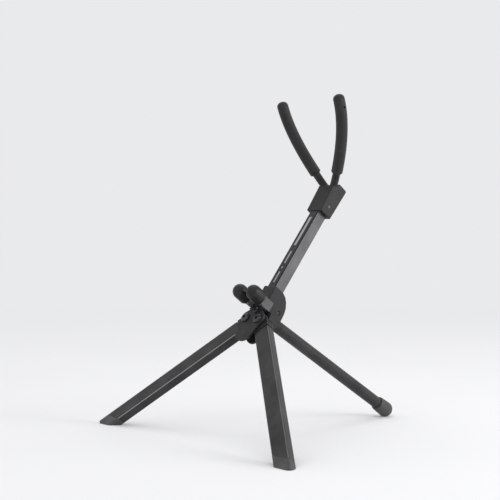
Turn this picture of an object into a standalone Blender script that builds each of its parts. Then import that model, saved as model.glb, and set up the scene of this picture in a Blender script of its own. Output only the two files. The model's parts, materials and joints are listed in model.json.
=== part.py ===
"""Folding stand for a saxophone: a leaning square mast on a moulded hub, two flat front legs and a
round rear leg that fold, two curved padded arms that reach into the bell, and a low padded cradle.
Metres, +Z up. The instrument stands on the -Y side and the mast leans towards +Y."""
from math import atan2, cos, pi, radians, sin

import bmesh
import bpy
from mathutils import Matrix, Vector

MM = 0.001

# Stance
HUB_HEIGHT = 116.5 * MM
HUB_Y = -41.926 * MM
MAST_TILT = radians(37.0)
FRONT_LEG_SPREAD = radians(44.0)
REAR_LEG_SWING = radians(94.4)

# Gap between fitted pieces
GAP = 0.25 * MM

# Mast
MAST_WIDTH = 12.5 * MM
MAST_WALL = 1.4 * MM
MAST_FOOT = 11.0 * MM
MAST_TOP = 149.0 * MM

# Hub
HUB_HALF_WIDTH = 9.2 * MM
HUB_FRONT = 7.8 * MM
LEG_LAYER = 5.3 * MM
BACK_PLATE_REAR = 7.1 * MM
CHEEK_RADIUS = 5.7 * MM
CLEVIS_HALF_GAP = 6.6 * MM
LOBE_DROP = 18.0 * MM
STOP_RADIUS = 8.8 * MM
LOBE_RADIUS = 12.0 * MM
COVER_LOBE_DROP = 20.5 * MM
COVER_LOBE_RADIUS = 14.5 * MM
CLAMP_SCREW_BACK = 10.8 * MM
CLAMP_SCREW_HEIGHT = 9.9 * MM

# Front legs, measured from the pivot bolt along the leg
LEG_WIDTH = 17.0 * MM
LEG_THICKNESS = 10.0 * MM
LEG_WALL = 1.5 * MM
LEG_CORNER = 1.8 * MM
LEG_PIVOT_X = 9.3 * MM
LEG_PIVOT_Z = -LEG_PIVOT_X * cos(FRONT_LEG_SPREAD) / sin(FRONT_LEG_SPREAD)
LEG_TUBE_START = 12.0 * MM
LEG_TUBE_END_INNER = 172.5 * MM
LEG_TUBE_END_OUTER = 187.0 * MM
LEG_FOOT_END = 199.0 * MM
PIVOT_BOLT_RADIUS = 2.6 * MM

# Rear leg, measured from its hinge pin along the leg
REAR_PIN_BACK = 13.5 * MM
REAR_PIN_Z = -REAR_PIN_BACK * cos(REAR_LEG_SWING) / sin(REAR_LEG_SWING)
REAR_PIN_RADIUS = 2.2 * MM
REAR_TUBE_RADIUS = 6.1 * MM
REAR_TUBE_WALL = 1.2 * MM
REAR_TUBE_END = 187.6 * MM
REAR_FOOT_START = 174.0 * MM
REAR_FOOT_CENTRE = 187.9 * MM
REAR_FOOT_RADIUS = 8.2 * MM

# Cradle, measured from its cross shaft
CRADLE_SHAFT_FRONT = 5.0 * MM
CRADLE_SHAFT_HEIGHT = 7.6 * MM
CRADLE_SHAFT_RADIUS = 1.9 * MM
CRADLE_BAR_IN = 9.5 * MM
CRADLE_BAR_OUT = 12.4 * MM
CRADLE_BAR_HALF_HEIGHT = 5.0 * MM
CRADLE_ARM_X = 10.6 * MM
CRADLE_ROD_RADIUS = 2.9 * MM
CRADLE_PAD_RADIUS = 7.5 * MM
CRADLE_PAD_START = 11.9 * MM
CRADLE_PAD_TIP = 23.0 * MM

# Head block on the mast
HEAD_HALF_WIDTH = 11.0 * MM
HEAD_PIN_HEIGHT = 133.0 * MM
HEAD_PIN_RADIUS = 1.5 * MM
LOCK_SCREW_HEIGHT = 155.0 * MM
LOCK_SCREW_SIDE = 6.2 * MM

# Bell arms: up the mast, out of its front and to the side, in millimetres
ARM_ROOT = (157.5, 7.8, 8.6)
ARM_MIDDLE = (187.5, 48.5, 42.5)
ARM_TIP = (207.0, 77.0, 43.0)
ARM_ROD_RADIUS = 3.95 * MM
ARM_ROD_DEPTH = 8.0 * MM
SLEEVE_RADIUS = 5.85 * MM
SLEEVE_BORE = 4.25 * MM
SLEEVE_START = 0.115

ROUND = 24

X = Vector((1.0, 0.0, 0.0))
BACK = Vector((0.0, 1.0, 0.0))
UP = Vector((0.0, 0.0, 1.0))


def new_collection(name):
    group = bpy.data.collections.new(name)
    bpy.context.scene.collection.children.link(group)
    return group


def material(name, colour, metallic, roughness):
    look = bpy.data.materials.new(name)
    look.use_nodes = True
    shader = look.node_tree.nodes["Principled BSDF"]
    shader.inputs["Base Color"].default_value = (*colour, 1.0)
    shader.inputs["Metallic"].default_value = metallic
    shader.inputs["Roughness"].default_value = roughness
    return look


def empty(name, parent, location, rotation=(0.0, 0.0, 0.0)):
    frame = bpy.data.objects.new(name, None)
    frame.empty_display_size = 0.01
    frame.parent = parent
    frame.location = location
    frame.rotation_euler = rotation
    parts.objects.link(frame)
    return frame


def at(up, front, side):
    """A place on the mast in millimetres: up the mast, out of its front face, to its side."""
    return Vector((side * MM, -front * MM, up * MM))


def place(mesh, name, parent):
    body = bpy.data.objects.new(name, mesh)
    body.parent = parent
    parts.objects.link(body)
    return body


def box(name, low, high, parent):
    low = Vector(low)
    high = Vector(high)
    work = bmesh.new()
    bmesh.ops.create_cube(work, size=1.0, matrix=Matrix.Diagonal((*(high - low), 1.0)))
    mesh = bpy.data.meshes.new(name)
    work.to_mesh(mesh)
    work.free()
    body = place(mesh, name, parent)
    body.location = (low + high) / 2
    return body


def rod(name, start, line, length, radius, parent, sides=ROUND):
    """A plain round rod from start along a line."""
    work = bmesh.new()
    middle = Matrix.Translation((0.0, 0.0, length / 2))
    bmesh.ops.create_cone(work, cap_ends=True, segments=sides, radius1=radius, radius2=radius,
                          depth=length, matrix=middle)
    mesh = bpy.data.meshes.new(name)
    work.to_mesh(mesh)
    work.free()
    body = place(mesh, name, parent)
    body.location = start
    body.rotation_euler = Vector(line).to_track_quat("Z", "Y").to_euler()
    return body


def turned(name, start, line, profile, parent, sides=ROUND, closed=False):
    """A turned piece. The profile lists distance along the line and radius, and runs down the
    outer side from its far end."""
    work = bmesh.new()
    points = [work.verts.new((radius, 0.0, along)) for along, radius in profile]
    for first, second in zip(points, points[1:]):
        work.edges.new((first, second))
    if closed:
        work.edges.new((points[-1], points[0]))
    mesh = bpy.data.meshes.new(name)
    work.to_mesh(mesh)
    work.free()
    body = place(mesh, name, parent)
    body.location = start
    body.rotation_euler = Vector(line).to_track_quat("Z", "Y").to_euler()
    spin = body.modifiers.new("turn", "SCREW")
    spin.axis = "Z"
    spin.steps = sides
    spin.render_steps = sides
    spin.use_merge_vertices = True
    spin.merge_threshold = 0.00001
    return body


def made_mesh(curve, name, turn=None):
    """The closed mesh of a curve, with its caps welded on."""
    source = bpy.data.objects.new(name, curve)
    parts.objects.link(source)
    graph = bpy.context.evaluated_depsgraph_get()
    mesh = bpy.data.meshes.new_from_object(source.evaluated_get(graph))
    work = bmesh.new()
    work.from_mesh(mesh)
    bmesh.ops.remove_doubles(work, verts=work.verts, dist=0.000001)
    if turn:
        bmesh.ops.transform(work, matrix=turn, verts=work.verts)
    bmesh.ops.recalc_face_normals(work, faces=work.faces)
    work.to_mesh(mesh)
    work.free()
    bpy.data.objects.remove(source, do_unlink=True)
    return mesh


def plate(name, outline, normal, start, end, parent):
    """A flat outline made thick along x (outline in y, z) or along y (outline in x, z) or along
    z (outline in x, y)."""
    curve = bpy.data.curves.new(name, "CURVE")
    curve.dimensions = "2D"
    curve.fill_mode = "BOTH"
    curve.extrude = (end - start) / 2
    spline = curve.splines.new("POLY")
    spline.points.add(len(outline) - 1)
    for point, (across, along) in zip(spline.points, outline):
        point.co = (across, along, 0.0, 1.0)
    spline.use_cyclic_u = True
    axes = {"x": (BACK, UP, X), "y": (X, UP, -BACK), "z": (X, BACK, UP)}[normal]
    turn = Matrix(axes).transposed().to_4x4()
    body = place(made_mesh(curve, name, turn), name, parent)
    middle = (start + end) / 2
    body.location = {"x": X, "y": BACK, "z": UP}[normal] * middle
    return body


def tube(name, centres, radii, parent, smooth=8):
    """A round solid along a path, as thick as its radii say."""
    curve = bpy.data.curves.new(name, "CURVE")
    curve.dimensions = "3D"
    curve.bevel_depth = max(radii)
    curve.bevel_resolution = smooth
    curve.use_fill_caps = True
    spline = curve.splines.new("POLY")
    spline.points.add(len(centres) - 1)
    for point, centre, radius in zip(spline.points, centres, radii):
        point.co = (*centre, 1.0)
        point.radius = radius / max(radii)
    return place(made_mesh(curve, name), name, parent)


def arc(across, along, radius, first, last, steps):
    """Outline points on an arc, in degrees."""
    turns = [radians(first + (last - first) * k / steps) for k in range(steps + 1)]
    return [(across + radius * cos(turn), along + radius * sin(turn)) for turn in turns]


def dome(centre, radius, steps=6):
    """Profile points of a rounded end, from its pole back to its widest ring."""
    turns = [pi / 2 * (1 - k / steps) for k in range(steps + 1)]
    points = [(centre + radius * sin(turn), radius * cos(turn)) for turn in turns]
    points[0] = (centre + radius, 0.0)
    return points


def combine(body, tool, how):
    """Cut a body with a hidden tool shape, or join the tool to it."""
    parts.objects.unlink(tool)
    cutters.objects.link(tool)
    tool.name = "tool_" + body.name + "_" + str(len(body.modifiers))
    tool.hide_render = True
    tool.display_type = "WIRE"
    step = body.modifiers.new(how.lower(), "BOOLEAN")
    step.operation = how
    step.solver = "EXACT"
    step.object = tool


def cut(body, tool):
    combine(body, tool, "DIFFERENCE")


def join(body, tool):
    combine(body, tool, "UNION")


def round_edges(body, width, segments=2, angle=35):
    step = body.modifiers.new("edges", "BEVEL")
    step.width = width
    step.segments = segments
    step.limit_method = "ANGLE"
    step.angle_limit = radians(angle)


def dress(body, look, sharp=35):
    body.data.materials.append(look)
    body.data.polygons.foreach_set("use_smooth", [True] * len(body.data.polygons))
    body.data.set_sharp_from_angle(angle=radians(sharp))
    return body


def button_screw(name, start, line, length, radius, head_radius, head_height, key_radius, parent):
    """A screw whose rounded head has a sunk six-sided key recess; start is under the head."""
    profile = [(length, 0.0), (length, radius), (0.0, radius), (0.0, head_radius),
               (-0.55 * head_height, head_radius), (-head_height, 0.72 * head_radius),
               (-head_height, 0.0)]
    body = turned(name, start, line, profile, parent, 20)
    line = Vector(line)
    top = Vector(start) - line * (head_height + 0.5 * MM)
    cut(body, rod("key", top, line, 0.7 * head_height + 0.5 * MM, key_radius, parent, 6))
    return dress(body, screw_black)


def block_outline():
    """Side view of the housing above the legs, y growing to the back."""
    points = [(-7.8, 1.2), (17.6, 1.2), (18.4, 4.0), (18.3, 8.0), (17.7, 14.0), (16.2, 19.0),
              (13.2, 23.8), (9.0, 27.6), (4.0, 29.5), (-7.8, 29.5)]
    return [(y * MM, z * MM) for y, z in points]


def cheek_outline():
    """Side view of the two cheeks that hold the rear hinge pin."""
    points = [(5.8 * MM, -13.2 * MM), (12.4 * MM, -13.2 * MM), (14.6 * MM, -8.6 * MM)]
    points += arc(REAR_PIN_BACK, REAR_PIN_Z, CHEEK_RADIUS, -52, 0, 4)
    return points + [(17.0 * MM, 6.0 * MM), (5.8 * MM, 6.0 * MM)]


def lobe_outline(top_half_width, top, drop, radius):
    """Front view of the plates that sandwich the legs: a lobe round each pivot and one below."""
    side = 7.4 * MM
    low = 64
    left = arc(-LEG_PIVOT_X, LEG_PIVOT_Z + 1.0 * MM, side, 130, 180 + low - 26, 8)
    bottom = arc(0.0, -drop, radius, 180 + low - 20, 360 - low + 20, 8)
    right = arc(LEG_PIVOT_X, LEG_PIVOT_Z + 1.0 * MM, side, -low + 26, 50, 8)
    return left + bottom + right + [(top_half_width, top), (-top_half_width, top)]


def housing():
    body = plate("hub_housing", block_outline(), "x", -HUB_HALF_WIDTH, HUB_HALF_WIDTH, mast)
    round_edges(body, 1.2 * MM)
    inner = HUB_HALF_WIDTH - 0.2 * MM
    join(body, plate("cheeks", cheek_outline(), "x", -inner, inner, mast))
    lobes = lobe_outline(7.0 * MM, 5.0 * MM, LOBE_DROP, LOBE_RADIUS)
    join(body, plate("back", lobes, "y", LEG_LAYER, BACK_PLATE_REAR, mast))
    for side in (-1, 1):
        shoulder = [(6.5, 2.0), (6.5, 4.2), (10.0, 4.2), (14.4, 2.4), (17.0, 0.2), (17.0, -4.9)]
        outline = [(side * x * MM, z * MM) for x, z in shoulder]
        outline += [(side * x, z) for x, z in arc(LEG_PIVOT_X, LEG_PIVOT_Z, STOP_RADIUS, 44, 68, 4)]
        join(body, plate("stop", outline, "y", -1.6 * MM, 6.6 * MM, mast))
        low = (min(side * 8.0, side * 12.2) * MM, -7.4 * MM, 1.0 * MM)
        high = (max(side * 8.0, side * 12.2) * MM, -6.5 * MM, 2.3 * MM)
        join(body, box("cradle_rest", low, high, mast))
    join(body, rod("boss", (0.0, -5.2 * MM, 0.0), BACK, 10.8 * MM, 3.4 * MM, mast))
    half = MAST_WIDTH / 2 + 0.2 * MM
    cut(body, box("socket", (-half, -half, MAST_FOOT - 0.3 * MM), (half, half, 40 * MM), mast))
    cut(body, box("clevis", (-CLEVIS_HALF_GAP, BACK_PLATE_REAR - 0.2 * MM, -20 * MM),
                  (CLEVIS_HALF_GAP, 30 * MM, 7.9 * MM), mast))
    cut(body, box("split", (-0.5 * MM, 6.0 * MM, 7.0 * MM), (0.5 * MM, 30 * MM, 40 * MM), mast))
    cut(body, box("notch", (-5.4 * MM, -12 * MM, -6 * MM), (5.4 * MM, -5.3 * MM, 4.6 * MM), mast))
    cut(body, rod("cover_hole", (0.0, -10 * MM, 0.0), BACK, 14.4 * MM, 1.7 * MM, mast))
    for side in (-1, 1):
        start = (side * LEG_PIVOT_X, 4 * MM, LEG_PIVOT_Z)
        cut(body, rod("bolt_hole", start, BACK, 8.0 * MM, PIVOT_BOLT_RADIUS + GAP, mast))
    cut(body, rod("hinge_hole", (-20 * MM, REAR_PIN_BACK, REAR_PIN_Z), X, 28.2 * MM,
                  REAR_PIN_RADIUS + 0.2 * MM, mast))
    cut(body, rod("shaft_hole", (-20 * MM, -CRADLE_SHAFT_FRONT, CRADLE_SHAFT_HEIGHT), X, 40 * MM,
                  CRADLE_SHAFT_RADIUS + GAP, mast))
    spot = (0.0, CLAMP_SCREW_BACK, CLAMP_SCREW_HEIGHT)
    profile = [(9.8 * MM, 0.0), (9.8 * MM, 2.3 * MM), (7.6 * MM, 2.3 * MM), (7.6 * MM, 1.4 * MM),
               (-7.6 * MM, 1.4 * MM), (-7.6 * MM, 0.0)]
    cut(body, turned("clamp_hole", spot, X, profile, mast))
    dress(body, moulded)


def cover():
    outline = lobe_outline(5.0 * MM, 4.0 * MM, COVER_LOBE_DROP, COVER_LOBE_RADIUS)
    body = plate("hub_front_cover", outline, "y", -HUB_FRONT, -5.5 * MM, mast)
    round_edges(body, 0.7 * MM)
    for side in (-1, 1):
        low = (min(side * 30, side * 5.1) * MM, -12 * MM, 0.9 * MM)
        high = (max(side * 30, side * 5.1) * MM, 0.0, 20 * MM)
        cut(body, box("step", low, high, mast))
        start = (side * LEG_PIVOT_X, -12 * MM, LEG_PIVOT_Z)
        cut(body, rod("bolt_hole", start, BACK, 12 * MM, PIVOT_BOLT_RADIUS + GAP, mast))
    cut(body, rod("screw_hole", (0.0, -12 * MM, 0.0), BACK, 12 * MM, 1.7 * MM, mast))
    dress(body, moulded)


def hub_fasteners():
    seat = -HUB_FRONT - 0.15 * MM
    button_screw("cover_screw", (0.0, seat, 0.0), BACK, 11.4 * MM, 1.45 * MM, 2.9 * MM, 1.5 * MM,
                 1.2 * MM, mast)
    for side, word in ((-1, "left"), (1, "right")):
        start = (side * LEG_PIVOT_X, seat, LEG_PIVOT_Z)
        button_screw(word + "_pivot_bolt", start, BACK, 14.9 * MM, PIVOT_BOLT_RADIUS, 4.8 * MM,
                     2.4 * MM, 1.9 * MM, mast)
    start = (7.8 * MM, CLAMP_SCREW_BACK, CLAMP_SCREW_HEIGHT)
    button_screw("socket_clamp_screw", start, -X, 15.0 * MM, 1.2 * MM, 2.0 * MM, 1.0 * MM,
                 0.9 * MM, mast)
    start = (-9.0 * MM, REAR_PIN_BACK, REAR_PIN_Z)
    dress(rod("rear_hinge_pin", start, X, 17.0 * MM, REAR_PIN_RADIUS, mast), screw_black)


def mast_and_head():
    half = MAST_WIDTH / 2
    tall = box("mast_tube", (-half, -half, MAST_FOOT), (half, half, MAST_TOP), mast)
    round_edges(tall, 1.3 * MM, 3)
    core = half - MAST_WALL
    cut(tall, box("bore", (-core, -core, 0.0), (core, core, 0.2), mast))
    cut(tall, rod("pin_hole", (-20 * MM, 0.0, HEAD_PIN_HEIGHT), X, 40 * MM,
                  HEAD_PIN_RADIUS + GAP, mast))
    dress(tall, mast_paint)

    outline = [(-7.4, 123.5), (-9.2, 154.0), (-7.9, 155.8), (-2.6, 160.2), (8.2, 159.8),
               (9.3, 158.6), (8.1, 123.5)]
    outline = [(y * MM, z * MM) for y, z in outline]
    head = plate("head_block", outline, "x", -HEAD_HALF_WIDTH, HEAD_HALF_WIDTH, mast)
    round_edges(head, 0.9 * MM, 2, 30)
    half += 0.2 * MM
    cut(head, box("socket", (-half, -half, 0.1), (half, half, MAST_TOP + 0.3 * MM), mast))
    cut(head, rod("pin_hole", (-20 * MM, 0.0, HEAD_PIN_HEIGHT), X, 40 * MM,
                  HEAD_PIN_RADIUS + GAP, mast))
    for side in (-1, 1):
        line = arm_line(side)
        start = arm_point(side, 0.0) - line * (ARM_ROD_DEPTH + 0.3 * MM)
        cut(head, rod("arm_bore", start, line, 30 * MM, ARM_ROD_RADIUS + GAP, mast))
        start = (side * LOCK_SCREW_SIDE, 12 * MM, LOCK_SCREW_HEIGHT)
        cut(head, rod("lock_bore", start, -BACK, 10.2 * MM, 1.85 * MM, mast))
    dress(head, moulded)
    start = (-HEAD_HALF_WIDTH + 0.2 * MM, 0.0, HEAD_PIN_HEIGHT)
    pin = rod("head_pin", start, X, 2 * HEAD_HALF_WIDTH - 0.4 * MM, HEAD_PIN_RADIUS, mast)
    dress(pin, screw_black)
    for side, word in ((-1, "left"), (1, "right")):
        start = (side * LOCK_SCREW_SIDE, 9.8 * MM, LOCK_SCREW_HEIGHT)
        lock = rod(word + "_arm_lock_screw", start, -BACK, 7.5 * MM, 1.6 * MM, mast, 16)
        start = (side * LOCK_SCREW_SIDE, 11 * MM, LOCK_SCREW_HEIGHT)
        cut(lock, rod("key", start, -BACK, 3.2 * MM, 0.9 * MM, mast, 6))
        dress(lock, screw_black)


def arm_point(side, t):
    """A place on the bent centre line of a bell arm, from its root at 0 to its tip at 1."""
    root, middle, tip = [at(up, front, side * out) for up, front, out in (ARM_ROOT, ARM_MIDDLE, ARM_TIP)]
    return (1 - t) ** 2 * root + 2 * t * (1 - t) * middle + t ** 2 * tip


def arm_line(side):
    """The direction in which an arm leaves the head."""
    up, front, out = [ahead - back for ahead, back in zip(ARM_MIDDLE, ARM_ROOT)]
    return Vector((side * out, -front, up)).normalized()


def arm_path(side, first, last, steps):
    """Points along a bell arm as seen from its root."""
    root = arm_point(side, 0.0)
    turns = [first + (last - first) * k / steps for k in range(steps + 1)]
    return [arm_point(side, t) - root for t in turns]


def bell_arm(word, side):
    """A curved steel rod in a soft sleeve. It turns in the head about its straight root."""
    socket = empty(word + "_arm_socket", mast, arm_point(side, 0.0))
    core = [arm_line(side) * -ARM_ROD_DEPTH] + arm_path(side, 0.0, 0.97, 15)
    dress(tube(word + "_arm_rod", core, [ARM_ROD_RADIUS] * len(core), socket, 6), coated)

    path = arm_path(side, SLEEVE_START, 1.0, 15)
    lip = (path[1] - path[0]).normalized() * 0.6 * MM
    end = (path[-1] - path[-2]).normalized()
    centres = [path[0], path[0] + lip] + path[1:]
    radii = [SLEEVE_RADIUS - 0.6 * MM] + [SLEEVE_RADIUS] * (len(centres) - 1)
    for turn in (25, 45, 62, 76):
        centres.append(path[-1] + end * 0.8 * SLEEVE_RADIUS * sin(radians(turn)))
        radii.append(SLEEVE_RADIUS * cos(radians(turn)))
    sleeve = tube(word + "_arm_sleeve", centres, radii, socket)
    hollow = arm_path(side, 0.0, 0.985, 16)
    cut(sleeve, tube("bore", hollow, [SLEEVE_BORE] * len(hollow), socket, 6))
    along = (path[-2] - path[-4]).normalized()
    outward = (X * side - along * along.dot(X * side)).normalized()
    start = path[-3] + outward * 3.0 * MM
    cut(sleeve, rod("vent", start, outward, 8 * MM, 1.2 * MM, socket, 12))
    dress(sleeve, soft)


def front_leg(word, side):
    """A flat hollow leg that folds in the plane of the mast's width."""
    hinge = empty(word + "_leg_hinge", mast, (side * LEG_PIVOT_X, 0.0, LEG_PIVOT_Z),
                  (0.0, -side * FRONT_LEG_SPREAD, 0.0))
    w = LEG_WIDTH / 2
    t = LEG_THICKNESS / 2
    rail = box(word + "_leg_tube", (-w, -t, -LEG_TUBE_END_OUTER - 5 * MM), (w, t, -LEG_TUBE_START),
               hinge)
    round_edges(rail, LEG_CORNER, 3)
    cut(rail, slant_tool(side, 0.0, -1, hinge))
    inside = (w - LEG_WALL, t - LEG_WALL)
    cut(rail, box("bore", (-inside[0], -inside[1], -0.3), (inside[0], inside[1], 0.0), hinge))
    dress(rail, satin)

    outline = arc(0.0, 0.0, w, 0, 180, 14)
    outline += [(-w, 0.3 * MM - LEG_TUBE_START), (w, 0.3 * MM - LEG_TUBE_START)]
    knuckle = plate(word + "_leg_knuckle", outline, "y", -t, t, hinge)
    round_edges(knuckle, 0.8 * MM)
    plug = (inside[0] - 0.3 * MM, inside[1] - 0.3 * MM)
    join(knuckle, box("plug", (-plug[0], -plug[1], -24 * MM), (plug[0], plug[1], -9 * MM), hinge))
    cut(knuckle, rod("bolt_hole", (0.0, -10 * MM, 0.0), BACK, 20 * MM, PIVOT_BOLT_RADIUS + GAP,
                     hinge))
    dress(knuckle, moulded)

    foot = box(word + "_foot", (-w, -t, -LEG_FOOT_END), (w, t, 5 * MM - LEG_TUBE_END_INNER), hinge)
    round_edges(foot, LEG_CORNER, 3)
    cut(foot, slant_tool(side, 0.3 * MM, 1, hinge))
    join(foot, box("plug", (-plug[0], -plug[1], -LEG_TUBE_END_OUTER - 1 * MM),
                   (plug[0], plug[1], 14 * MM - LEG_TUBE_END_INNER), hinge))
    cut(foot, floor_tool())
    dress(foot, rubber)


def slant_tool(side, drop, way, parent):
    """Everything beyond the slanted end of a leg's tube (way -1), or before it (way 1)."""
    size = 60 * MM
    slope = Matrix.Rotation(side * atan2(LEG_TUBE_END_OUTER - LEG_TUBE_END_INNER, LEG_WIDTH), 3, "Y")
    middle = -(LEG_TUBE_END_INNER + LEG_TUBE_END_OUTER) / 2 - drop
    body = box("slant", (-size, -size, -size), (size, size, size), parent)
    body.rotation_euler = slope.to_euler()
    body.location = UP * middle + slope @ (UP * way * size)
    return body


def floor_tool():
    """Everything below the floor, to give a foot its flat underside."""
    return box("floor", (-0.3, -0.3, -0.1 - HUB_HEIGHT), (0.3, 0.3, -HUB_HEIGHT), stand)


def rear_leg():
    """The round leg hinged between the housing's cheeks."""
    hinge = empty("rear_leg_hinge", mast, (0.0, REAR_PIN_BACK, REAR_PIN_Z), (REAR_LEG_SWING, 0.0, 0.0))
    r = REAR_TUBE_RADIUS
    bore = r - REAR_TUBE_WALL
    first = 12 * MM
    last = REAR_TUBE_END
    edge = 0.2 * MM
    profile = [(-first, bore), (-first, r - edge), (-first - edge, r), (-last + edge, r),
               (-last, r - edge), (-last, bore)]
    rail = turned("rear_leg_tube", (0.0, 0.0, 0.0), UP, profile, hinge, closed=True)
    dress(rail, satin)

    profile = dome(0.0, r) + [(-11.7 * MM, r), (-11.7 * MM, bore - 0.3 * MM),
                              (-25 * MM, bore - 0.3 * MM), (-25 * MM, 0.0)]
    knuckle = turned("rear_leg_knuckle", (0.0, 0.0, 0.0), UP, profile, hinge)
    cut(knuckle, rod("pin_hole", (-10 * MM, 0.0, 0.0), X, 20 * MM, REAR_PIN_RADIUS + GAP, hinge))
    dress(knuckle, moulded)

    hole = r + GAP
    profile = [(-last - 0.4 * MM, 0.0), (-last - 0.4 * MM, hole), (-REAR_FOOT_START, hole),
               (-REAR_FOOT_START, hole + 0.7 * MM), (-REAR_FOOT_START - 0.8 * MM, hole + 1.1 * MM),
               (-REAR_FOOT_START - 6 * MM, REAR_FOOT_RADIUS - 0.3 * MM)]
    profile += [(-along, radius) for along, radius in reversed(dome(REAR_FOOT_CENTRE, REAR_FOOT_RADIUS, 8))]
    foot = turned("rear_foot", (0.0, 0.0, 0.0), UP, profile, hinge, 32)
    cut(foot, floor_tool())
    dress(foot, rubber)


def cradle():
    """Two short padded arms on one cross shaft through the hub."""
    hinge = empty("cradle_hinge", mast, (0.0, -CRADLE_SHAFT_FRONT, CRADLE_SHAFT_HEIGHT))
    reach = CRADLE_BAR_OUT - 1.2 * MM
    shaft = rod("cradle_shaft", (-reach, 0.0, 0.0), X, 2 * reach, CRADLE_SHAFT_RADIUS, hinge)
    dress(shaft, coated)
    tall = CRADLE_BAR_HALF_HEIGHT
    for word, side in (("left", -1), ("right", 1)):
        corners = [(CRADLE_BAR_IN, 3.0 * MM), (CRADLE_BAR_OUT, 3.0 * MM), (CRADLE_BAR_OUT, -7.4 * MM),
                   (14.0 * MM, -8.9 * MM), (14.0 * MM, -11.6 * MM), (7.0 * MM, -11.6 * MM),
                   (7.0 * MM, -8.9 * MM), (CRADLE_BAR_IN, -8.2 * MM)]
        outline = [(side * x, y) for x, y in corners]
        bar = plate(word + "_cradle_bar", outline, "z", -tall, tall, hinge)
        round_edges(bar, 0.6 * MM)
        start = X * side * (CRADLE_BAR_IN - 1 * MM)
        cut(bar, rod("shaft_hole", start, X * side, 3.0 * MM, CRADLE_SHAFT_RADIUS + 0.2 * MM, hinge))
        spot = X * side * CRADLE_ARM_X
        cut(bar, rod("rod_hole", spot - BACK * 8.0 * MM, -BACK, 10 * MM, CRADLE_ROD_RADIUS + GAP,
                     hinge))
        dress(bar, moulded)

        r = CRADLE_ROD_RADIUS
        tip = CRADLE_PAD_TIP + 2.0 * MM
        profile = [(tip, 0.0), (tip, r - 0.7 * MM), (tip - 1 * MM, r), (8.9 * MM, r), (8.9 * MM, 0.0)]
        dress(turned(word + "_cradle_rod", spot, -BACK, profile, hinge, 20), coated)
        hole = r + GAP
        big = CRADLE_PAD_RADIUS
        foot = CRADLE_PAD_START
        profile = dome(CRADLE_PAD_TIP, big, 7)
        profile += [(foot + 1.3 * MM, big), (foot + 0.4 * MM, big - 0.5 * MM), (foot, big - 1.2 * MM),
                    (foot, hole), (tip + 0.4 * MM, hole), (tip + 0.4 * MM, 0.0)]
        dress(turned(word + "_cradle_pad", spot, -BACK, profile, hinge, 28), rubber)


for item in list(bpy.data.objects):
    bpy.data.objects.remove(item, do_unlink=True)

parts = new_collection("saxophone_stand")
cutters = new_collection("tools")

moulded = material("moulded_black", (0.030, 0.030, 0.032), 0.0, 0.45)
satin = material("satin_black_tube", (0.045, 0.045, 0.048), 0.6, 0.42)
mast_paint = material("black_mast", (0.050, 0.050, 0.053), 0.5, 0.35)
rubber = material("black_rubber", (0.040, 0.041, 0.042), 0.0, 0.75)
soft = material("soft_sleeve", (0.028, 0.028, 0.029), 0.0, 0.70)
coated = material("coated_rod", (0.020, 0.020, 0.022), 0.3, 0.38)
screw_black = material("blackened_screw", (0.030, 0.030, 0.030), 0.8, 0.40)

stand = empty("stand", None, (0.0, HUB_Y, HUB_HEIGHT))
mast = empty("mast_frame", stand, (0.0, 0.0, 0.0), (-MAST_TILT, 0.0, 0.0))

housing()
cover()
hub_fasteners()
mast_and_head()
bell_arm("left", -1)
bell_arm("right", 1)
front_leg("left", -1)
front_leg("right", 1)
rear_leg()
cradle()
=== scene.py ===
"""Looks of the folding saxophone stand: moulded hub and head, satin tubes, black rods, soft sleeves
and rubber feet, on a pale floor in soft studio light. Metres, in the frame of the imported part."""

import json
from math import pi, radians

import bmesh
import bpy
import numpy as np
from mathutils import Matrix, Vector


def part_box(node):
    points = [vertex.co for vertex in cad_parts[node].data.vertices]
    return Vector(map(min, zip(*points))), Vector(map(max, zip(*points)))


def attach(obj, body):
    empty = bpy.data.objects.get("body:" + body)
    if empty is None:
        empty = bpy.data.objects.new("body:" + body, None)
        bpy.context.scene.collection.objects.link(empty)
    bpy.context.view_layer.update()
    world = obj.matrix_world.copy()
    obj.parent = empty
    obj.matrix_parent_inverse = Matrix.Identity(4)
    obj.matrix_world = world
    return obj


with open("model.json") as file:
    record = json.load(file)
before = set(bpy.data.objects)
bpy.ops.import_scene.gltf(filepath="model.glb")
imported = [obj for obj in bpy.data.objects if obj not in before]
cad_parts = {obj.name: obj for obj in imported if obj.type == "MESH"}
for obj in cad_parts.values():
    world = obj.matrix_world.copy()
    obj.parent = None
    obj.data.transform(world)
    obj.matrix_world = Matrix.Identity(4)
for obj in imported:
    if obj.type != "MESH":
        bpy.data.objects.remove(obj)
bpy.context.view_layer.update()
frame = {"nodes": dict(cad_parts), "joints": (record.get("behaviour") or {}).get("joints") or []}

MM = 0.001
X = Vector((1.0, 0.0, 0.0))
joints = {joint["name"]: joint for joint in frame["joints"]}
mast_back = Vector(joints["left_leg_fold"]["axis"]).normalized()
mast_up = X.cross(mast_back)
mast_turn = Matrix((X, mast_back, mast_up)).transposed()

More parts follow.
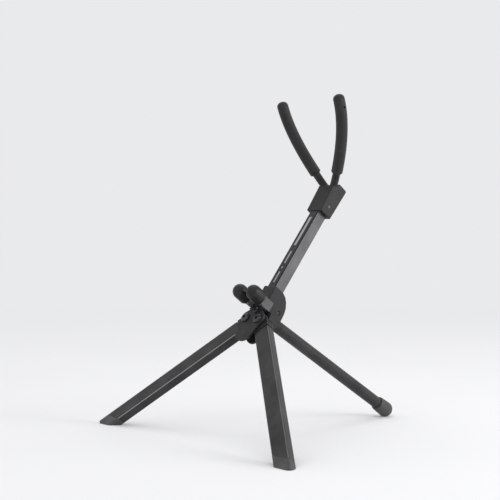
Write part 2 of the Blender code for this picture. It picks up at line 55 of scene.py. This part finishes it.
# Bare colours, linear
PLASTIC = (0.0098, 0.0096, 0.0100)
PLASTIC_WORN = (0.070, 0.070, 0.073)
TUBE = (0.0150, 0.0147, 0.0150)
TUBE_WORN = (0.090, 0.088, 0.090)
# A painted highlight: pale colour along the long corners of the flat-sided legs, stronger on the left leg
# than on the right
TUBE_EDGE_HIGHLIGHT = (0.290, 0.285, 0.290)
CORNER_HIGHLIGHT = {"left_leg_tube": 0.85, "right_leg_tube": 0.25}
# The mast's paler sides are partly its own satin finish and partly painted side light; its front is black
MAST = (0.0900, 0.0870, 0.0910)
MAST_FRONT = (0.0090, 0.0088, 0.0092)
MAST_WORN = (0.200, 0.195, 0.200)
ROD = (0.0060, 0.0060, 0.0064)
ROD_WORN = (0.070, 0.069, 0.070)
BRACKET = (0.0660, 0.0650, 0.0720)
PAD = (0.0065, 0.0068, 0.0066)
PAD_WORN = (0.040, 0.040, 0.040)
FOAM = (0.0180, 0.0176, 0.0178)
FOAM_WORN = (0.050, 0.050, 0.052)
RUBBER = (0.0440, 0.0436, 0.0440)
RUBBER_WORN = (0.130, 0.129, 0.128)
SCREW = (0.0180, 0.0180, 0.0190)
SCREW_WORN = (0.260, 0.255, 0.250)
LABEL = (0.0060, 0.0060, 0.0065)
LABEL_PRINT = (0.42, 0.42, 0.43)
DUST = (0.30, 0.29, 0.27)
FLOOR = (0.87, 0.87, 0.88)
FLOOR_PALE = (0.89, 0.89, 0.90)
ROOM = (0.93, 0.935, 0.95)
ROOM_LIGHT = 0.88
FADE_START = 0.35
FADE_END = 2.0
FLOOR_SIZE = 30.0

# How every finish varies: its palest and darkest shares, and the size of scuffs in grains
PALER_SHARE = 0.28
DARKER_TONE = 0.78
SCUFF_IN_GRAINS = 7.0
ROUGHNESS_EITHER_WAY = 0.09
COAT_ROUGHNESS = 0.18
SHEEN_ROUGHNESS = 0.45

# Soft lights: name, place, size across and power in watts
LIGHTS = (("right_softbox", (1.7, 0.9, 0.6), 1.1, 20.0),
          ("top_softbox", (-0.5, 0.4, 1.9), 1.3, 4.0),
          ("front_softbox", (0.2, -1.9, 1.3), 1.2, 2.0))
LIGHT_AIM = Vector((0.0, 0.0, 0.15))

CAMERA_PLACE = (0.87732, -0.745995, 0.19753)
CAMERA_TURN = radians(51.81)
CAMERA_PITCH = radians(0.9)
CAMERA_LENS = 82.8
CAMERA_SENSOR = 36.0


def add(tree, kind, settings=None, **sockets):
    """A shader node. A socket is named by its label, or i and its number, and takes a value or a link."""
    node = tree.nodes.new("ShaderNode" + kind)
    for key, value in (settings or {}).items():
        setattr(node, key, value)
    for key, value in sockets.items():
        numbered = key[0] == "i" and key[1:].isdigit()
        socket = node.inputs[int(key[1:])] if numbered else node.inputs[key.replace("_", " ")]
        if isinstance(value, bpy.types.NodeSocket):
            tree.links.new(value, socket)
        else:
            socket.default_value = value
    return node


def noise(tree, vector, scale, detail=3.0, rough=0.55):
    return add(tree, "TexNoise", Vector=vector, Scale=scale, Detail=detail, Roughness=rough).outputs[0]


def spread(tree, value, low, high, to_low=0.0, to_high=1.0):
    """A value stretched from low..high to to_low..to_high and held there."""
    node = add(tree, "MapRange", {"clamp": True}, Value=value)
    for socket, number in zip(node.inputs[1:5], (low, high, to_low, to_high)):
        socket.default_value = number
    return node.outputs[0]


def times(tree, first, second):
    return add(tree, "Math", {"operation": "MULTIPLY"}, i0=first, i1=second).outputs[0]


def mixed(tree, share, first, second):
    """A colour between two, by a share from 0 to 1."""
    first = first if isinstance(first, bpy.types.NodeSocket) else (*first, 1.0)
    second = second if isinstance(second, bpy.types.NodeSocket) else (*second, 1.0)
    return add(tree, "Mix", {"data_type": "RGBA"}, i0=share, i6=first, i7=second).outputs[2]


def edge_mask(tree, radius):
    """High where the surface turns a corner within the radius."""
    worn = add(tree, "Bevel", {"samples": 6}, Radius=radius).outputs[0]
    flat = add(tree, "NewGeometry").outputs["Normal"]
    same = add(tree, "VectorMath", {"operation": "DOT_PRODUCT"}, i0=worn, i1=flat).outputs["Value"]
    return spread(tree, same, 0.995, 0.90)


def long_axis_turn(node):
    """The rotation that lays a node's longest direction along Z and its flat side across Y."""
    points = np.array([vert.co for vert in frame["nodes"][node].data.vertices])
    points = points - points.mean(axis=0)
    line = Vector(np.linalg.svd(points, full_matrices=False)[2][0])
    across = mast_back.cross(line)
    if across.length < 0.2:
        across = X.copy()
    across.normalize()
    return Matrix((across, line.cross(across), line))


def turned_normal(tree, turn):
    """The surface's own normal along the part's width, thickness and length."""
    normal = add(tree, "TexCoord").outputs["Normal"]
    laid = add(tree, "Mapping", {"vector_type": "NORMAL"}, Vector=normal, Rotation=turn.to_euler())
    return laid.outputs[0]


def corner_share(tree, turn):
    """High on the rounded long corners of a flat-sided tube."""
    split = add(tree, "SeparateXYZ", Vector=turned_normal(tree, turn)).outputs
    both = add(tree, "Math", {"operation": "ABSOLUTE"}, i0=times(tree, split["X"], split["Y"])).outputs[0]
    return spread(tree, both, 0.40, 0.49)


def painted_corner_highlights(turn, share):
    """A painted highlight: paler colour along a tube's long corners."""
    def paint(tree, colour):
        return mixed(tree, times(tree, corner_share(tree, turn), share), colour, TUBE_EDGE_HIGHLIGHT)
    return paint


def black_front_lit_sides(turn):
    """A mast that is black all round except for its two paler sides, partly satin metal and partly painted
    side light.
    """
    def paint(tree, colour):
        split = add(tree, "SeparateXYZ", Vector=turned_normal(tree, turn)).outputs
        sideways = add(tree, "Math", {"operation": "ABSOLUTE"}, i0=split["X"]).outputs[0]
        return mixed(tree, spread(tree, sideways, 0.55, 0.93), MAST_FRONT, colour)
    return paint


def finish(name, bare, worn, roughness, turn=None, **how):
    """A finished material. how: mottle and grain (scales), streak (how far the grain is drawn out along
    the part), bump and strength (the grain's relief), wear, dust and fleck (shares), edge (width of a
    worn corner), metallic, specular, coat, sheen, and extra, which may paint over the colour."""
    look = bpy.data.materials.new(name)
    look.use_nodes = True
    tree = look.node_tree
    shader = tree.nodes["Principled BSDF"]
    place = add(tree, "TexCoord").outputs["Object"]
    if turn is not None:
        place = add(tree, "Mapping", Vector=place, Rotation=turn.to_euler()).outputs[0]
    streak = how.get("streak", 1.0)
    drawn = add(tree, "Mapping", Vector=place, Scale=(1.0, 1.0, 1.0 / streak)).outputs[0]
    cloud = noise(tree, place, how["mottle"], 5.0, 0.6)
    grain = noise(tree, drawn, how["grain"], 2.0, 0.5)
    scuff = noise(tree, drawn, how["grain"] / SCUFF_IN_GRAINS, 4.0, 0.7)

    paler = tuple((1.0 - PALER_SHARE) * tone + PALER_SHARE * rub for tone, rub in zip(bare, worn))
    darker = tuple(DARKER_TONE * tone for tone in bare)
    colour = mixed(tree, spread(tree, cloud, 0.30, 0.72), darker, paler)
    colour = mixed(tree, spread(tree, grain, 0.35, 0.80, 0.0, how["fleck"]), colour, worn)
    edges = edge_mask(tree, how.get("edge", 0.7 * MM))
    rubbed = times(tree, edges, spread(tree, scuff, 0.38, 0.66, 0.15, 1.0))
    colour = mixed(tree, times(tree, rubbed, how["wear"]), colour, worn)
    up = add(tree, "SeparateXYZ", Vector=add(tree, "TexCoord").outputs["Normal"]).outputs["Z"]
    settled = times(tree, spread(tree, up, 0.25, 0.95), spread(tree, cloud, 0.42, 0.70))
    colour = mixed(tree, times(tree, settled, how["dust"]), colour, DUST)
    if "extra" in how:
        colour = how["extra"](tree, colour)
    tree.links.new(colour, shader.inputs["Base Color"])

    uneven = add(tree, "Math", {"operation": "ADD"}, i0=times(tree, cloud, 0.6), i1=times(tree, scuff, 0.4))
    varied = spread(tree, uneven.outputs[0], 0.30, 0.70, roughness - ROUGHNESS_EITHER_WAY,
                    roughness + ROUGHNESS_EITHER_WAY)
    tree.links.new(varied, shader.inputs["Roughness"])
    fine = add(tree, "Bump", Strength=how.get("strength", 0.5), Distance=how["bump"], Height=grain)
    wavy = add(tree, "Bump", Strength=0.35, Distance=how["bump"] * 2.5, Height=scuff,
               Normal=fine.outputs[0])
    tree.links.new(wavy.outputs[0], shader.inputs["Normal"])
    shader.inputs["Metallic"].default_value = how.get("metallic", 0.0)
    shader.inputs["Specular IOR Level"].default_value = how.get("specular", 0.5)
    shader.inputs["Coat Weight"].default_value = how.get("coat", 0.0)
    shader.inputs["Coat Roughness"].default_value = COAT_ROUGHNESS
    shader.inputs["Sheen Weight"].default_value = how.get("sheen", 0.0)
    shader.inputs["Sheen Roughness"].default_value = SHEEN_ROUGHNESS
    return look


def wear(names, make):
    """Give each node its own material, made for its long direction."""
    for name in names:
        node = frame["nodes"][name]
        node.data.materials.clear()
        node.data.materials.append(make(name))
        for face in node.data.polygons:
            face.material_index = 0


def moulded(name):
    return finish("moulded_" + name, PLASTIC, PLASTIC_WORN, 0.50, mast_turn.transposed(), mottle=70.0,
                  grain=2200.0, bump=0.035 * MM, strength=0.7, specular=0.26, wear=0.6, dust=0.04,
                  fleck=0.12)


def tube(name):
    turn = long_axis_turn(name)
    # the flat-sided legs get a painted highlight along their long corners
    flat_sided = {"extra": painted_corner_highlights(turn, CORNER_HIGHLIGHT[name])} if name in CORNER_HIGHLIGHT else {}
    return finish("tube_" + name, TUBE, TUBE_WORN, 0.40, turn, mottle=45.0, grain=3600.0, streak=26.0,
                  bump=0.010 * MM, specular=0.24, wear=0.65, dust=0.05, fleck=0.22, **flat_sided)


def mast_metal(name):
    # the sides are paler than the front: partly satin finish, partly painted side light
    turn = mast_turn.transposed()
    return finish("mast_" + name, MAST, MAST_WORN, 0.38, turn, mottle=40.0, grain=3400.0, streak=30.0,
                  bump=0.008 * MM, metallic=0.2, specular=0.22, wear=0.5, dust=0.04, fleck=0.30,
                  extra=black_front_lit_sides(turn))


def bracket(name):
    return finish("bracket_" + name, BRACKET, MAST_WORN, 0.44, mast_turn.transposed(), mottle=120.0,
                  grain=2600.0, bump=0.02 * MM, specular=0.3, wear=0.45, dust=0.05, fleck=0.2)


def black_rod(name):
    return finish("rod_" + name, ROD, ROD_WORN, 0.36, long_axis_turn(name), mottle=80.0, grain=3200.0,
                  streak=18.0, bump=0.008 * MM, specular=0.25, wear=0.6, dust=0.03, fleck=0.12)


def foam(name):
    return finish("sleeve_" + name, FOAM, FOAM_WORN, 0.58, None, mottle=65.0, grain=1700.0,
                  bump=0.05 * MM, strength=0.8, specular=0.25, wear=0.3, dust=0.04, fleck=0.12, sheen=0.08)


def rubber(name):
    return finish("rubber_" + name, RUBBER, RUBBER_WORN, 0.68, None, mottle=85.0, grain=1500.0,
                  bump=0.05 * MM, strength=0.8, wear=0.35, dust=0.12, fleck=0.12, sheen=0.08)


def smooth_pad(name):
    return finish("pad_" + name, PAD, PAD_WORN, 0.42, None, mottle=110.0, grain=1900.0, bump=0.02 * MM,
                  strength=0.5, specular=0.28, wear=0.3, dust=0.04, fleck=0.08, coat=0.08)


def screw(name):
    return finish("screw_" + name, SCREW, SCREW_WORN, 0.34, None, mottle=300.0, grain=4200.0,
                  bump=0.008 * MM, metallic=0.7, wear=0.8, dust=0.02, fleck=0.10, edge=0.4 * MM)


def piece(name, mesh, body, look):
    """A new visible piece that rides on a body."""
    made = bpy.data.objects.new(name, mesh)
    bpy.context.scene.collection.objects.link(made)
    mesh.materials.append(look)
    mesh.polygons.foreach_set("use_smooth", [True] * len(mesh.polygons))
    mesh.set_sharp_from_angle(angle=radians(40))
    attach(made, body)
    return made


wear(("hub_housing", "hub_front_cover", "head_block", "left_leg_knuckle", "right_leg_knuckle",
      "rear_leg_knuckle"), moulded)
wear(("left_leg_tube", "right_leg_tube", "rear_leg_tube"), tube)
wear(("mast_tube",), mast_metal)
wear(("left_cradle_bar", "right_cradle_bar"), bracket)
wear(("left_arm_rod", "right_arm_rod", "left_cradle_rod", "right_cradle_rod", "cradle_shaft"), black_rod)
wear(("left_arm_sleeve", "right_arm_sleeve"), foam)
wear(("left_foot", "right_foot", "rear_foot"), rubber)
wear(("left_cradle_pad", "right_cradle_pad"), smooth_pad)
wear(("cover_screw", "left_pivot_bolt", "right_pivot_bolt", "socket_clamp_screw", "rear_hinge_pin",
      "head_pin", "left_arm_lock_screw", "right_arm_lock_screw"), screw)


# A thin black band on the front of the mast, with plain pale bars instead of print
low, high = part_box("mast_tube")
mast_middle = (low + high) / 2
mast_half = (high.x - low.x) / 2


def heights(node):
    """How far along the mast, from its middle, each point of a node lies."""
    return [mast_up.dot(vert.co - mast_middle) for vert in frame["nodes"][node].data.vertices]


BAND_LOW = max(heights("hub_housing")) + 0.4 * MM
BAND_HIGH = min(heights("head_block")) - 0.4 * MM
BAND_HALF = mast_half - 1.5 * MM
BAND_CORNER = 1.2 * MM
BAND_SINK = 0.01 * MM
BAND_THICK = 0.14 * MM
PRINT_BARS = ((0.05, 0.19, 0.20), (0.235, 0.255, 0.20), (0.30, 0.46, 0.20), (0.54, 0.92, 0.34))


def printed(tree, colour):
    """Plain pale bars along the band: each has a start and an end as a share of its length, and a
    half width as a share of the band's."""
    there = add(tree, "Attribute", {"attribute_name": "band"}).outputs["Vector"]
    split = add(tree, "SeparateXYZ", Vector=there).outputs
    across = add(tree, "Math", {"operation": "ABSOLUTE"}, i0=split["X"]).outputs[0]
    for start, end, half in PRINT_BARS:
        inside = add(tree, "Math", {"operation": "GREATER_THAN"}, i0=split["Y"], i1=start).outputs[0]
        before = add(tree, "Math", {"operation": "LESS_THAN"}, i0=split["Y"], i1=end).outputs[0]
        narrow = add(tree, "Math", {"operation": "LESS_THAN"}, i0=across, i1=half).outputs[0]
        share = times(tree, times(tree, times(tree, inside, before), narrow), 0.85)
        colour = mixed(tree, share, colour, LABEL_PRINT)
    return colour


def mast_band():
    work = bmesh.new()
    tall = BAND_HIGH - BAND_LOW
    shape = Matrix.Diagonal((2 * BAND_HALF, BAND_THICK, tall, 1.0))
    bmesh.ops.create_cube(work, size=1.0, matrix=shape)
    uprights = [edge for edge in work.edges
                if abs(edge.verts[0].co.y - edge.verts[1].co.y) > BAND_THICK / 2]
    bmesh.ops.bevel(work, geom=uprights, offset=BAND_CORNER, segments=5, affect="EDGES", profile=0.5)
    mesh = bpy.data.meshes.new("mast_front_band")
    work.to_mesh(mesh)
    work.free()
    spots = mesh.attributes.new("band", "FLOAT_VECTOR", "POINT")
    for number, vert in enumerate(mesh.vertices):
        spots.data[number].vector = (vert.co.x / BAND_HALF, vert.co.z / tall + 0.5, 0.0)
    centre = Vector((0.0, -mast_half - BAND_THICK / 2 + BAND_SINK, (BAND_LOW + BAND_HIGH) / 2))
    mesh.transform(Matrix.Translation(mast_middle) @ mast_turn.to_4x4() @ Matrix.Translation(centre))
    look = finish("band", LABEL, PLASTIC_WORN, 0.30, mast_turn.transposed(), mottle=50.0, grain=3000.0,
                  bump=0.004 * MM, coat=0.12, specular=0.2, wear=0.3, dust=0.03, fleck=0.05,
                  extra=printed)
    piece("mast_front_band", mesh, "mast_and_hub", look)


mast_band()


# Floor, light and camera
def pale_floor():
    """A plain floor that fades into the room's own tone away from the stand, so no horizon shows."""
    bpy.ops.mesh.primitive_plane_add(size=FLOOR_SIZE, location=(0.0, 0.0, 0.0))
    floor = bpy.context.object
    floor.name = "pale_floor"
    look = bpy.data.materials.new("pale_floor")
    look.use_nodes = True
    tree = look.node_tree
    place = add(tree, "TexCoord").outputs["Object"]
    tone = mixed(tree, spread(tree, noise(tree, place, 3.0), 0.3, 0.7), FLOOR, FLOOR_PALE)
    near = tree.nodes["Principled BSDF"]
    tree.links.new(tone, near.inputs["Base Color"])
    near.inputs["Roughness"].default_value = 0.85
    away = add(tree, "VectorMath", {"operation": "LENGTH"}, i0=place).outputs["Value"]
    far = add(tree, "Emission", Color=(*ROOM, 1.0), Strength=ROOM_LIGHT).outputs[0]
    both = add(tree, "MixShader", i0=spread(tree, away, FADE_START, FADE_END), i1=near.outputs[0], i2=far)
    tree.links.new(both.outputs[0], tree.nodes["Material Output"].inputs["Surface"])
    floor.data.materials.append(look)


def area_light(name, place, size, power):
    light = bpy.data.lights.new(name, "AREA")
    light.shape = "DISK"
    light.size = size
    light.energy = power
    lamp = bpy.data.objects.new(name, light)
    lamp.location = place
    lamp.rotation_euler = (LIGHT_AIM - Vector(place)).to_track_quat("-Z", "Y").to_euler()
    bpy.context.scene.collection.objects.link(lamp)


def pale_room():
    world = bpy.data.worlds.new("pale_room")
    world.use_nodes = True
    world.node_tree.nodes["Background"].inputs["Color"].default_value = (*ROOM, 1.0)
    world.node_tree.nodes["Background"].inputs["Strength"].default_value = ROOM_LIGHT
    bpy.context.scene.world = world
    bpy.context.scene.view_settings.view_transform = "Standard"


def place_camera():
    view = bpy.data.cameras.new("camera")
    view.sensor_width = CAMERA_SENSOR
    view.lens = CAMERA_LENS
    camera = bpy.data.objects.new("camera", view)
    camera.location = CAMERA_PLACE
    camera.rotation_euler = (pi / 2 - CAMERA_PITCH, 0.0, CAMERA_TURN)
    bpy.context.scene.collection.objects.link(camera)
    bpy.context.scene.camera = camera


pale_floor()
for name, place, size, power in LIGHTS:
    area_light(name, place, size, power)
pale_room()
place_camera()
